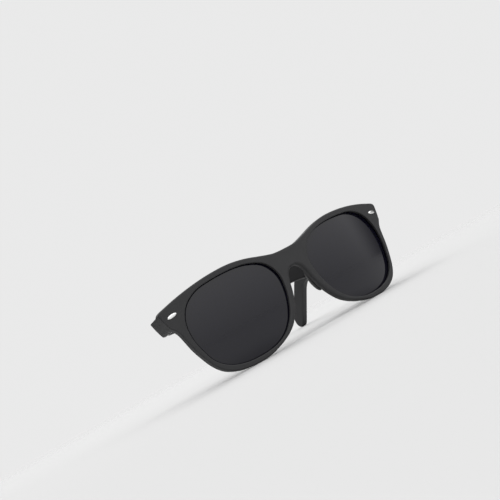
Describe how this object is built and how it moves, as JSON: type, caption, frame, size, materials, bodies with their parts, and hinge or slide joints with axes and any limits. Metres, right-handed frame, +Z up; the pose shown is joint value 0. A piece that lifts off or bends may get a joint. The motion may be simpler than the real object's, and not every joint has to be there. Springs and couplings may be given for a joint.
{
  "type": "sunglasses",
  "caption": "Folding full-frame sunglasses with a curved matte plastic front, dark grey lenses, oval corner rivets and two hinged side arms.",
  "frame": {"origin": "on the surface that the glasses stand on, under the middle of their box with the wearer's left arm open", "axes": "+Z up, the front faces -Y, +X towards the wearer's left"},
  "size_m": [0.145, 0.1664, 0.0518],
  "materials": {
    "frame_plastic": "fine matte moulded, charcoal black",
    "temple_plastic": "fine matte moulded, charcoal black",
    "lens_tint": "smoke grey tint, polished",
    "pad_plastic": "satin",
    "rivet_metal": "polished silver",
    "hinge_metal": "satin nickel",
    "screw_metal": "bright nickel",
    "core_wire": "drawn wire"
  },
  "bodies": {
    "front": {"front_frame": "frame_plastic", "lens_left": "lens_tint", "nose_pad_left": "pad_plastic", "front_rivet_left": "rivet_metal", "front_hinge_left": "hinge_metal", "hinge_screw_left": "screw_metal", "front_leaf_pin_left_1": "screw_metal", "front_leaf_pin_left_2": "screw_metal", "lens_right": "lens_tint", "nose_pad_right": "pad_plastic", "front_rivet_right": "rivet_metal", "front_hinge_right": "hinge_metal", "hinge_screw_right": "screw_metal", "front_leaf_pin_right_1": "screw_metal", "front_leaf_pin_right_2": "screw_metal"},
    "temple_left": {"temple_left": "temple_plastic", "temple_hinge_left": "hinge_metal", "temple_core_left": "core_wire", "temple_leaf_pin_left_1": "screw_metal", "temple_leaf_pin_left_2": "screw_metal"},
    "temple_right": {"temple_right": "temple_plastic", "temple_hinge_right": "hinge_metal", "temple_core_right": "core_wire", "temple_leaf_pin_right_1": "screw_metal", "temple_leaf_pin_right_2": "screw_metal"}
  },
  "joints": [
    {"name": "left_arm_fold", "type": "hinge", "parent": "front", "child": "temple_left", "pos_m": [0.0652, -0.04859, 0.0393], "axis": [0, 0, -1], "range_deg": [-80, 0]},
    {"name": "right_arm_fold", "type": "hinge", "parent": "front", "child": "temple_right", "pos_m": [-0.0652, -0.04859, 0.0393], "axis": [0, 0, 1], "range_deg": [0, 90]}
  ]
}
